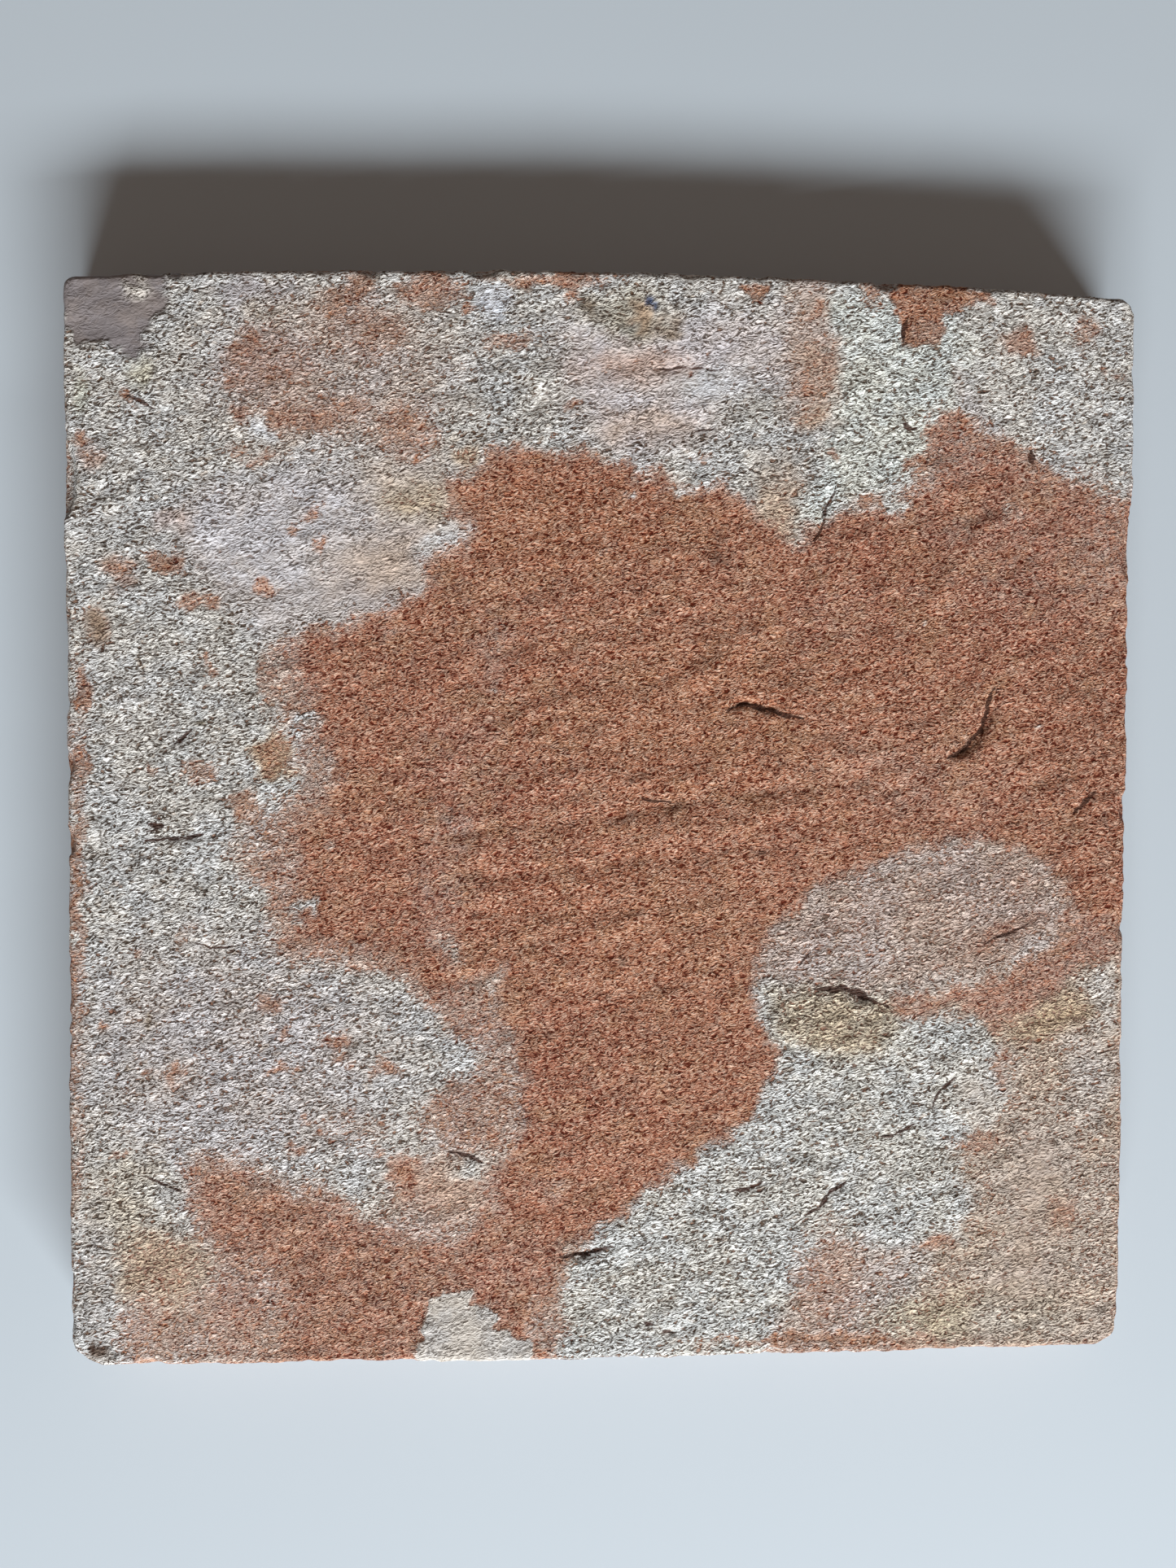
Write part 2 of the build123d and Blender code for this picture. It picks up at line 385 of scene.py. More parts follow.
    spot(575, 1438, 17, 13, 8, cover=1.1, tint=(208, 207, 204)),
    spot(386, 950, 25, 48, 15, haze=0.8, cover=0.5),
    spot(1130, 600, 50, 18, 14, turn=-30, cover=0.5, haze=0.3),
    spot(1074, 612, 17, 9, 7, cover=0.3, fresh=0.4),
    spot(1097, 616, 15, 9, 5, cover=1.1),
    spot(1060, 653, 9, 7, 5, stain=0.5),
    spot(1182, 555, 36, 34, 22, cover=0.3, haze=0.3),
    spot(1290, 600, 80, 18, 16, turn=30, cover=0.45, haze=0.35),
    spot(1290, 680, 110, 90, 60, haze=0.25, cover=0.08),
    spot(1362, 690, 26, 60, 22, haze=0.5, cover=0.3),
    spot(1020, 760, 40, 30, 28, haze=0.18),
    spot(1170, 645, 40, 18, 18, haze=0.35, stain=0.15),
    spot(607, 800, 16, 46, 14, haze=0.5, cover=0.22),
    spot(565, 925, 45, 35, 30, haze=0.25),
    spot(560, 1015, 26, 36, 20, haze=0.4, cover=0.22),
    spot(540, 1100, 34, 50, 26, haze=0.3, cover=0.22),
    spot(1120, 960, 90, 40, 40, turn=20, haze=0.3),
    spot(775, 600, 10, 7, 4, cover=0.8),
    spot(831, 607, 17, 6, 4, cover=1.0, tint=(208, 207, 207)),
    spot(371, 886, 13, 7, 4, cover=1.1, tint=(208, 208, 208)),
    spot(374, 1120, 16, 8, 5, cover=0.95),
    spot(480, 775, 12, 8, 7, cover=0.5, haze=0.6),
    spot(400, 1043, 6, 6, 4, cover=0.8),
    spot(611, 841, 7, 5, 4, cover=0.8),
    spot(695, 777, 5, 4, 3, cover=0.75),
    spot(1135, 768, 3, 10, 3, turn=15, cover=0.85),
    spot(1245, 628, 16, 8, 6, turn=-20, cover=0.7, haze=0.5),
    spot(1281, 893, 6, 6, 4, cover=0.8),
    spot(748, 679, 18, 3, 3, turn=-40, cover=0.6),
    spot(884, 668, 10, 22, 10, turn=-20, stain=0.45),
    spot(889, 690, 9, 5, 5, stain=0.6),
    spot(930, 1050, 5, 4, 3, stain=0.9),
    spot(700, 1560, 50, 30, 24, haze=0.35, cover=0.28),
    spot(680, 1465, 26, 12, 12, haze=0.5, cover=0.4),
    # pale oval and lower right
    dict(outline=[(928, 1235), *ovalEdge, (1296, 1155), (1218, 1199), (1096, 1224), (1010, 1230)],
         feather=22, cover=0.8, tint=(193, 179, 171), coarse=0.95, thick=0.06, fresh=0.0, haze=0.35),
    spot(1240, 1147, 46, 9, 10, turn=-24, cover=0.45, stain=0.2),
    spot(1255, 1085, 34, 26, 16, cover=0.7),
    spot(1040, 1185, 80, 26, 24, turn=-12, tint=(196, 190, 187)),
    dict(outline=[(1110, 1245), (1260, 1220), (1330, 1185), (1440, 1160), (1440, 1720), (1100, 1720),
                  (1110, 1600), (1190, 1490), (1170, 1424), (1225, 1354), (1215, 1274)],
         feather=24, cover=0.8, tint=(195, 185, 173), coarse=0.95, thick=0.05, fresh=0.3, haze=0.5),
    dict(outline=[(1010, 1540), (1060, 1520), (1150, 1525), (1110, 1600), (1100, 1720), (950, 1720),
                  (960, 1600)],
         feather=30, cover=0.84, tint=(202, 194, 189), coarse=1.0, fresh=0.3, haze=0.4),
    dict(outline=[(935, 1215), (1030, 1228), (1100, 1236), (1160, 1250), (1215, 1274), (1225, 1354),
                  (1180, 1392), (1170, 1424), (1190, 1490), (1140, 1525), (1060, 1520), (1000, 1540),
                  (960, 1600), (900, 1720), (700, 1720), (690, 1600), (702, 1545), (760, 1502),
                  (820, 1452), (880, 1412), (930, 1372), (958, 1312)],
         feather=17, cover=1.1, tint=(208, 209, 206), coarse=1.08, thick=0.16, fresh=0.2),
    dict(outline=[(955, 1215), (1040, 1222), (1100, 1238), (1080, 1290), (1000, 1300), (958, 1270)],
         feather=18, tint=(199, 188, 168), coarse=1.7, cover=0.9, thick=0.15),
    dict(outline=[(1330, 1150), *tongueEdge],
         feather=14, cover=0.24, fresh=0.0, haze=0.4, thick=0.02, coarse=0.85),
    spot(1345, 1150, 36, 30, 18, cover=0.3, haze=0.4),
    spot(1226, 1264, 12, 6, 6, cover=0.3, fresh=0.4),
    spot(1295, 1250, 50, 20, 18, turn=-20, cover=0.74, tint=(196, 182, 156)),
    spot(1361, 1228, 22, 38, 14, tint=(205, 201, 197), cover=1.0),
    spot(1203, 1346, 24, 40, 16, tint=(204, 199, 193), coarse=0.6),
    spot(1016, 1570, 40, 66, 24, cover=0.6, fresh=0.3),
    spot(1153, 1531, 17, 10, 8, cover=0.35, fresh=0.4),
    spot(1208, 1404, 32, 8, 9, cover=0.42, fresh=0.4),
    spot(1231, 1317, 8, 18, 8, cover=0.45, fresh=0.4),
    dict(outline=[(1250, 1400), (1300, 1390), (1318, 1440), (1296, 1520), (1330, 1600), (1372, 1645),
                  (1180, 1650), (1190, 1600), (1238, 1540), (1232, 1460)],
         feather=26, coarse=0.42, cover=1.0, tint=(185, 170, 158), haze=0.7),
    spot(1310, 1492, 9, 24, 9, turn=15, cover=0.5, fresh=0.3, stain=0.12),
    spot(1150, 1622, 60, 22, 22, tint=(196, 188, 166), coarse=0.85),
    spot(1260, 1620, 60, 28, 26, tint=(193, 183, 170), coarse=0.8),
    spot(1346, 1322, 34, 50, 24, tint=(199, 190, 182), cover=0.95),
    spot(1010, 1652, 130, 8, 7, cover=0.3, fresh=0.8, thick=0.0),
    spot(672, 1630, 24, 40, 18, cover=0.55, fresh=0.2),
    dict(outline=[(519, 1645), (525, 1606), (545, 1593), (566, 1589), (588, 1601), (613, 1619),
                  (602, 1640), (652, 1646), (640, 1700), (519, 1700)],
         feather=5, cover=1.4, tint=(193, 189, 184), coarse=0.32, thick=0.3, haze=0.0),
]
ragged = {"broad": (3.2, 15.0), "fine": (1.1, 6.0)}  # how edges wander: size in mm, reach in pixels

# Ridges and hollows drawn along the clay while it was wet: width in pixels, rise in mm, and the line
creases = [
    (10, 0.16, [(603, 848), (660, 798), (712, 770), (780, 736), (835, 720)]),
    (8, 0.12, [(700, 806), (775, 790)]),
    (15, 0.24, [(858, 836), (910, 790), (948, 764)]),
    (13, 0.1, [(960, 754), (1020, 706), (1062, 650)]),
    (12, 0.28, [(1102, 792), (1135, 756), (1170, 706), (1210, 648), (1252, 616)]),
    (11, 0.19, [(1212, 915), (1262, 902), (1306, 872), (1374, 834)]),
    (7, -0.2, [(1268, 906), (1302, 890)]),
    (12, 0.2, [(1140, 915), (1185, 868), (1210, 818)]),
    (13, 0.18, [(896, 842), (985, 852), (1012, 876)]),
    (12, 0.18, [(940, 916), (1000, 920), (1064, 930)]),
    (13, 0.22, [(896, 1006), (958, 996), (994, 984)]),
    (10, 0.26, [(498, 1016), (562, 1000)]),
    (9, 0.2, [(530, 1066), (592, 1046)]),
    (9, 0.14, [(698, 958), (752, 946)]),
    (8, 0.26, [(780, 966), (852, 955)]),
    (8, -0.2, [(455, 1042), (580, 1018), (660, 1012), (750, 1005), (820, 990), (920, 974), (1060, 960),
               (1120, 975)]),
    (8, -0.17, [(570, 1076), (660, 1074), (712, 1064), (820, 1056), (912, 1040)]),
    (8, -0.14, [(580, 1121), (660, 1126), (760, 1120), (822, 1108)]),
    (8, -0.12, [(660, 1222), (760, 1220), (852, 1204)]),
    (8, 0.12, [(700, 1188), (760, 1138), (822, 1108)]),
    (8, 0.12, [(750, 1208), (820, 1148), (892, 1108)]),
    (8, 0.1, [(802, 1208), (866, 1156)]),
    (8, 0.16, [(620, 898), (660, 873), (692, 862)]),
    (8, 0.14, [(640, 918), (694, 888)]),
    (12, -0.14, [(850, 760), (922, 750)]),
    (9, -0.16, [(535, 1206), (592, 1204)]),
    (9, -0.2, [(616, 1266), (672, 1264)]),
    (9, 0.08, [(640, 1262), (762, 1190)]),
    (10, 0.08, [(690, 1310), (800, 1240), (900, 1160)]),
    (10, -0.12, [(720, 1452), (790, 1430), (850, 1380)]),
    (9, -0.16, [(878, 655), (890, 690)]),
    (8, -0.16, [(240, 680), (285, 708), (326, 730)]),
    (12, 0.12, [(210, 640), (250, 606), (300, 590)]),
    (8, 0.2, [(118, 858), (176, 860)]),
]

# Narrow cracks and the floors of the gouges, cut into the relief and painted dark as their shade: half
# width in pixels, fading to the ends, and the line
cracks = [
    (4.4, [(890, 878), (904, 869), (920, 866), (938, 869), (954, 875), (970, 880), (990, 883)]),
    (4.4, [(1225, 842), (1218, 867), (1210, 894), (1192, 917), (1164, 936)]),
    (5, [(998, 1218), (1040, 1216), (1096, 1240)]),
    (3, [(545, 1416), (572, 1421), (596, 1432)]),
    (3.2, [(982, 1502), (1008, 1486), (1020, 1468), (1046, 1450)]),
    (2.6, [(1081, 1398), (1104, 1394), (1128, 1382)]),
    (2.6, [(1144, 1368), (1156, 1342), (1180, 1324)]),
    (2.9, [(888, 1467), (916, 1464), (942, 1451)]),
    (3.6, [(684, 1549), (720, 1544), (756, 1534)]),
    (3, [(174, 1034), (212, 1030), (254, 1027)]),
    (4.5, [(180, 1012), (200, 1014)]),
    (3, [(211, 919), (234, 894)]),
    (2.6, [(1032, 596), (1017, 620), (1012, 642), (1000, 666)]),
    (4.5, [(1117, 390), (1114, 402), (1111, 418)]),
    (5.5, [(1269, 553), (1273, 569)]),
    (5, [(1110, 520), (1128, 528)]),
    (2.2, [(780, 978), (812, 986), (848, 986)]),
    (5.5, [(1322, 1000), (1350, 974)]),
    (4, [(790, 1628), (806, 1631)]),
    (3.5, [(815, 1637), (828, 1640)]),
    (3, [(150, 482), (190, 502)]),
    (2, [(795, 454), (830, 450), (870, 452), (900, 449)]),
    (2, [(851, 531), (866, 526), (880, 525)]),
    (2.4, [(170, 1444), (200, 1458), (227, 1469)]),
    (2, [(236, 1160), (262, 1167), (295, 1162)]),
    (2.4, [(1202, 1162), (1240, 1150), (1280, 1130)]),
    (2.5, [(1008, 1160), (975, 1198)]),
]


def fromScreen(color):  # to linear light
    share = np.array(color) / 255
    return np.where(share <= 0.04045, share / 12.92, ((share + 0.055) / 1.055) ** 2.4)


seedStep = np.array([17.3, 31.7, 7.9])  # from one seed's part of the noise to the next


def fractal(points, size, octaves, seed):
    shift = Vector(seedStep * seed)
    return np.array([noise.fractal(Vector(p) / size + shift, 1.0, 2.0, octaves) for p in points.tolist()])


def wander(points, size, reach, octaves, seed):  # how far each point is pulled across the photograph
    return reach * np.column_stack([fractal(points, size, octaves, seed + axis) for axis in range(2)])


def smoothStep(value, low, high):
    share = np.clip((value - low) / (high - low), 0, 1)
    return share * share * (3 - 2 * share)


def roundedOutline(points, steps=4):  # a closed curve through the points
    p = np.array(points, float)
    before, after, later = np.roll(p, 1, 0), np.roll(p, -1, 0), np.roll(p, -2, 0)
    t = (np.arange(steps) / steps)[None, :, None]
    curve = (2 * p[:, None] + (after - before)[:, None] * t
             + (2 * before - 5 * p + 4 * after - later)[:, None] * t ** 2
             + (3 * p - before - 3 * after + later)[:, None] * t ** 3) / 2
    return curve.reshape(-1, 2)


def lineGap(spots, a, b):  # pixels to the line from a to b
    along = np.clip(((spots - a) @ (b - a)) / max((b - a) @ (b - a), 1e-9), 0, 1)
    return np.linalg.norm(spots - a - along[:, None] * (b - a), axis=1)


def outlineDepth(spots, outline):  # pixels inside the outline, negative outside
    nearest = np.full(len(spots), np.inf)
    inside = np.zeros(len(spots), bool)
    for a, b in zip(outline, np.roll(outline, -1, 0)):
        nearest = np.minimum(nearest, lineGap(spots, a, b))
        crossing = (a[1] > spots[:, 1]) != (b[1] > spots[:, 1])
        with np.errstate(divide="ignore", invalid="ignore"):
            inside ^= crossing & (spots[:, 0] < (b[0] - a[0]) * (spots[:, 1] - a[1]) / (b[1] - a[1]) + a[0])
    return np.where(inside, nearest, -nearest)


def spotDepth(spots, x, y, halfWide, halfHigh, turn):  # pixels inside the spot, negative outside
    c, s = math.cos(math.radians(turn)), math.sin(math.radians(turn))
    dx, dy = spots[:, 0] - x, spots[:, 1] - y
    radius = np.hypot((dx * c + dy * s) / halfWide, (dy * c - dx * s) / halfHigh)
    return (1 - radius) * min(halfWide, halfHigh)


def paintBack(points):
    spots = toPhoto(points)
    spots += wander(points, *ragged["broad"], 3, 1)
    spots += wander(points, *ragged["fine"], 1, 3)
    fields = {name: np.full(len(points), value) for name, value in plain.items() if name != "tint"}
    fields["tint"] = np.tile(fromScreen(plain["tint"]), (len(points), 1))
    for patch in patches:
        if "outline" in patch:
            depth = outlineDepth(spots, roundedOutline(patch["outline"]))
        else:
            depth = spotDepth(spots, *patch["spot"])
        share = smoothStep(depth, -patch["feather"], patch["feather"])
        for name in fields:
            if name == "tint" and name in patch:
                fields[name] += (fromScreen(patch[name]) - fields[name]) * share[:, None]
            elif name in patch:
                fields[name] += (patch[name] - fields[name]) * share
    return fields


# How far the skin lies under the CAD's surface, in mm. Each bulge is its size and height.
relief = {
    "depth": 0.55,  # bare clay of the back
    "swell": (24.0, 0.16),
    "ripple": (5.0, 0.11),
    "drag": (6.0, 1.6, 17.0, 0.13),  # length, width, turn in degrees, height: left by the cutting wire
    "crumb": (1.1, 0.15),
    "limeLump": (2.6, 0.14),
    "limeCrumb": (1.1, 0.09),
    "creaseWander": (2.5, 5.0),  # size in mm and reach in pixels
    "creaseFade": (5.0, 0.35, 0.4, 1.4),  # size in mm, swing, weakest and strongest share
    "crackWander": (1.6, 3.0),
    "crackReach": 14.0,  # pixels
    "crackLeast": 0.05,  # mm
    "crackDepth": 0.3,
    "side": 0.12,
    "sideWave": (4.0, 0.22),
    "nibble": (2.4, 0.5),  # bites out of the worn edge
    "least": 0.02,
    "limeFrom": (0.3, 0.9),  # cover over which the lime's lumps come in
    "backFrom": (0.1, 0.95),  # how far the surface faces up, from the sides to the back
    "faceFade": (0.6, 2.0),  # mm above the face, where the relief ends
}
sidePaint = {"cover": 0.32, "coarse": 0.6, "haze": 0.25, "fresh": 0.3, "stain": 0.1}
sideWear = {"edgeCover": 0.45, "edge": (0.05, 0.5), "side": (0.55, 0.95)}  # from the back to the sides


def bulge(points, key, octaves, seed):
    size, height = relief[key]
    return fractal(points, size, octaves, seed) * height


def dragMarks(points):
    length, width, turn, height = relief["drag"]
    c, s = math.cos(math.radians(turn)), math.sin(math.radians(turn))
    x, y, z = points.T
    drawn = np.column_stack([(x * c + y * s) / length, (y * c - x * s) / width, z])
    return fractal(drawn, 1.0, 2, 18) * height


def creaseRise(points):
    spots = toPhoto(points) + wander(points, *relief["creaseWander"], 2, 21)
    size, swing, weakest, strongest = relief["creaseFade"]
    share = smoothStep(fractal(points, size, 2, 27), -swing, swing)
    strength = weakest + (strongest - weakest) * share  # each line comes and goes
    total = np.zeros(len(points))
    for width, rise, line in creases:
        line = np.array(line, float)
        gap = np.min([lineGap(spots, a, b) for a, b in zip(line, line[1:])], axis=0)
        total += rise * np.exp(-(gap / width) ** 2)
    return total * strength


def crackMap(points):  # mm to the nearest crack, signed, and its half width there
    spots = toPhoto(points) + wander(points, *relief["crackWander"], 2, 25)
    nearest = np.full(len(points), relief["crackReach"])
    side = np.full(len(points), relief["crackReach"])
    width = np.zeros(len(points))
    for widest, line in cracks:
        line = np.array(line, float)
        steps = np.linalg.norm(np.diff(line, axis=0), axis=1)
        run = 0.0
        for a, b, step in zip(line, line[1:], steps):
            gap = lineGap(spots, a, b)
            along = np.clip(((spots - a) @ (b - a)) / step ** 2, 0, 1)
            closer = gap < nearest
            cross = (b - a)[0] * (spots - a)[:, 1] - (b - a)[1] * (spots - a)[:, 0]
            share = (run + along * step) / steps.sum()
            nearest[closer] = gap[closer]
            side[closer] = (cross / step)[closer]
            width[closer] = (widest * np.sqrt(4 * share * (1 - share)))[closer]
            run += step
    return side / view["scale"], width / view["scale"]


def sinkBack(points, fields):
    clay = bulge(points, "swell", 2, 11) + bulge(points, "ripple", 2, 12) + creaseRise(points)
    clay += dragMarks(points)
    clay += bulge(points, "crumb", 1, 13) * fields["coarse"]
    crackWidth = np.maximum(fields["crackWidth"], relief["crackLeast"])
    clay -= relief["crackDepth"] * np.exp(-(fields["crackSide"] / crackWidth) ** 2)
    lime = (bulge(points, "limeLump", 1, 14) + bulge(points, "limeCrumb", 1, 15)) * fields["coarse"]
    height = clay + fields["thick"] + lime * smoothStep(fields["cover"], *relief["limeFrom"])
    return relief["depth"] - height


def sinkSide(points):
    return relief["side"] + bulge(points, "sideWave", 2, 16)


def wearSides(fields, upright):  # towards the sides the lime gives way to clay
    fields["cover"] -= sideWear["edgeCover"] * smoothStep(1 - upright, *sideWear["edge"])
    side = smoothStep(1 - upright, *sideWear["side"])
    for name, value in sidePaint.items():
        fields[name] += (value - fields[name]) * side


def layRelief():
    rimMiddle = loops[skin["rimRings"] // 2]
    painted = base.copy()
    for loop in loops[skin["rimRings"] // 2 + 1:]:  # the sides take what lies on the edge above them
        painted[loop] = base[rimMiddle]
    fields = paintBack(painted)
    fields["crackSide"], fields["crackWidth"] = crackMap(base)
    upright = np.clip(outward[:, 2], 0, 1)
    backShare = smoothStep(upright, *relief["backFrom"])
    sink = sinkBack(base, fields) * backShare + sinkSide(base) * (1 - backShare)
    # the bites are deepest where the edge turns over
    sink += np.maximum(bulge(base, "nibble", 2, 17), 0) * 4 * upright * (1 - upright)
    sink = np.maximum(sink, relief["least"]) * smoothStep(base[:, 2], *relief["faceFade"])
    wearSides(fields, upright)
    return fields, sink


fields, sink = layRelief()
points = np.concatenate([base - outward * sink[:, None], facePoints])
print("relief laid, sink", sink.min().round(3), "to", sink.max().round(3), "mm")


def put(tree, kind, inputs=None, **settings):
    node = tree.nodes.new("ShaderNode" + kind)
    for name, value in settings.items():
        setattr(node, name, value)
    for socket, value in (inputs or {}).items():
        if isinstance(value, bpy.types.NodeSocket):
            tree.links.new(value, node.inputs[socket])
        else:
            node.inputs[socket].default_value = value
    return node


def calc(tree, operation, a, b=0.0, c=0.0):
    return put(tree, "Math", {0: a, 1: b, 2: c}, operation=operation).outputs[0]


def mixColors(tree, share, a, b, blend="MIX"):
    return put(tree, "Mix", {0: share, 6: a, 7: b}, data_type="RGBA", blend_type=blend).outputs[2]


def scaled(tree, color, factor):
    return put(tree, "VectorMath", {"Vector": color, "Scale": factor}, operation="SCALE").outputs[0]


def mixValues(tree, share, a, b):
    return put(tree, "Mix", {0: share, 2: a, 3: b}, data_type="FLOAT").outputs[0]


def ease(tree, value, low, high, start=0.0, end=1.0):
    inputs = {"Value": value, "From Min": low, "From Max": high, "To Min": start, "To Max": end}
    return put(tree, "MapRange", inputs, interpolation_type="SMOOTHSTEP").outputs[0]


def speckle(tree, place, size, detail=3.0, roughness=0.6):
    inputs = {"Vector": place, "Scale": 1 / (size * mm), "Detail": detail, "Roughness": roughness}
    return put(tree, "TexNoise", inputs).outputs[0]


def field(tree, name, socket="Fac"):
    return put(tree, "Attribute", attribute_name=name).outputs[socket]


def newMaterial(name):
    material = bpy.data.materials.new(name)
    material.use_nodes = True
    material.node_tree.nodes.clear()
    return material, material.node_tree


def putSurface(tree, color, roughness, inputs):
    shader = put(tree, "BsdfPrincipled", {"Base Color": color, "Roughness": roughness, **inputs})
    put(tree, "OutputMaterial", {"Surface": shader.outputs[0]})


def putBump(tree, height):  # height in mm
    return put(tree, "Bump", {"Height": height, "Distance": mm, "Strength": 1.0}).outputs[0]


def newGroup(name, inputs, outputs):
    tree = bpy.data.node_groups.new(name, "ShaderNodeTree")
    for direction, sockets in (("INPUT", inputs), ("OUTPUT", outputs)):
        for label, kind in sockets.items():
            tree.interface.new_socket(label, in_out=direction, socket_type="NodeSocket" + kind)
    return tree, tree.nodes.new("NodeGroupInput").outputs, tree.nodes.new("NodeGroupOutput").inputs


def linear(*color):
    return (*fromScreen(color), 1)


# A mask is the range of noise, grain or cover over which it comes in, and the shares at its two ends
clay = {
    "plain": linear(183, 126, 100),
    "tan": linear(187, 138, 108),
    "red": linear(175, 115, 91),
    "grey": linear(170, 133, 117),
    "fresh": linear(192, 136, 95),
    "dust": linear(193, 176, 167),
    "buffAndHighlight": linear(223, 191, 170),  # pale buff: the random tone of some grains, and a painted highlight on the grains' tops
    "stain": linear(72, 44, 33),
    "hollowShade": (0.22, 0.068, 0.03, 1),  # painted shade in the hollows: what is left of the colour there
    "grain": 0.33,  # mm, as are the sizes below
    "height": 0.54,
    "fleckSize": 1.1,
    "mottleSize": 4.0,
    "broadSize": 17.0,
    "plainMask": (0.38, 0.6),
    "tanMask": (0.46, 0.66),
    "greyMask": (0.52, 0.72),
    "toneMask": (0.6, 1.0, 0.0, 0.25),
    "topHighlightMask": (0.46, 0.68, 0.0, 0.85),
    "dustMask": (0.3, 0.62),
    "stainMask": (0.25, 0.55),
    "hollowShadeMask": (0.28, 0.46),
    "roughness": 0.95,
    "specular": 0.2,
}
lime = {
    # painted shade in the hollows between the grains
    "hollowShade": (0.17, 0.135, 0.11, 1),
    "dustyShade": (0.19, 0.125, 0.085, 1),  # painted shade in the hollows, browned by the clay dust in them
    # painted shade in the pits
    "pit": (0.3, 0.25, 0.22, 1),
    "warm": (1.08, 1.075, 1.045, 1),
    "cool": (1.045, 1.09, 1.135, 1),
    "sand": linear(168, 146, 122),
    "grain": 0.41,  # mm, as are the sizes below
    "height": 0.8,
    "step": 0.05,
    "pitDepth": 0.2,
    "pitSize": 1.1,
    "fleckSize": 1.2,
    "smearSize": 3.2,
    "patchSize": 3.6,
    "dustyShadeSize": 5.0,
    "hueSize": 6.0,
    "spread": 2.4,  # how far the grain shifts the edge of the lime
    "grainShare": 0.65,  # of that shift, the rest is flecks
    "edgeMask": (0.2, 0.8),
    "patchMask": (0.32, 0.68, 0.6, 1.35),  # smoother and rougher spots
    "dustMask": (-0.15, 0.5, 0.0, 0.45),  # on the clay beside the lime
    "smearMask": (0.55, 0.68),
    "smearCover": (0.8, 1.1),
    "smearHollowShade": 0.5,  # what a smear leaves of the painted shade in the hollows
    "smearHeight": 0.6,
    "smearLight": 0.14,
    "pitMask": (0.3, 0.22),
    "dustyShadeMask": (0.52, 0.68),
    "hollowShadeMask": (0.28, 0.47, 1.0, 0.0),
    "hollowShadeCoarse": (0.0, 0.7),
    "tanMask": (0.3, 1.05, 0.5, 0.0),  # thin lime takes the clay's colour
    "hueMask": (0.38, 0.62),
    "toneMask": (0.4, 0.1, 0.0, 0.16),
    # painted highlight on the grains' crests
    "crestHighlightMask": (0.44, 0.66, 0.0, 0.4),
    "sandMask": (0.92, 0.98, 0.0, 0.4),
    "stainShare": 0.8,
}
# how the painted shade in the cracks is laid
crackLook = {
    "wander": (0.3, 0.6, 0.3, 1.1),  # how the flecks change the width
    "edgeMask": (-0.12, 0.06, 1.0, 0.0),  # mm
    "endMask": (0.05, 0.12),  # mm
    "dark": 0.92,
}

gritLook = {
    "turn": 14.0,  # degrees, along the drag of the wire
    "stretch": (0.66, 1.14, 1.0),
    "drift": 1.0,  # mm that the grains are pulled out of line
    "driftScale": 0.45,  # this scale and the next are shares of the grain's
    "softScale": 1.28,
    "softRoughness": 0.6,
    "edge": 0.26,  # how far a grain falls away towards its edge
    "gain": 1.25,
}


def gritGroup():  # uneven grains of many sizes, and a tone for each larger one
    inputs = {"Place": "Vector", "Scale": "Float"}
    tree, given, made = newGroup("grit", inputs, {"Height": "Float", "Tone": "Float"})
    turn = -math.radians(gritLook["turn"])
    drift = gritLook["drift"] * mm
    turned = put(tree, "VectorRotate", {"Vector": given["Place"], "Angle": turn}, rotation_type="Z_AXIS")
    drawn = put(tree, "VectorMath", {0: turned.outputs[0], 1: gritLook["stretch"]},
                operation="MULTIPLY").outputs[0]
    scale = calc(tree, "MULTIPLY", given["Scale"], gritLook["driftScale"])
    pull = put(tree, "TexNoise", {"Vector": drawn, "Scale": scale, "Detail": 1.0})
    place = put(tree, "VectorMath", {0: pull.outputs["Color"], 1: (drift,) * 3, 2: drawn},
                operation="MULTIPLY_ADD").outputs[0]
    scale = calc(tree, "MULTIPLY", given["Scale"], gritLook["softScale"])
    soft = put(tree, "TexNoise", {"Vector": place, "Scale": scale, "Detail": 2.0,
                                  "Roughness": gritLook["softRoughness"]})
    cells = put(tree, "TexVoronoi", {"Vector": place, "Scale": given["Scale"]})
    height = calc(tree, "MULTIPLY_ADD", cells.outputs["Distance"], -gritLook["edge"], soft.outputs[0])
    tree.links.new(calc(tree, "MULTIPLY", height, gritLook["gain"]), made["Height"])
    tree.links.new(put(tree, "SeparateColor", {0: cells.outputs["Color"]}).outputs[0], made["Tone"])
    return tree


grit = gritGroup()


def gritGrain(tree, place, size):
    grain = put(tree, "Group", {"Place": place, "Scale": 1 / (size * mm)}, node_tree=grit)
    return grain.outputs["Height"], grain.outputs["Tone"]


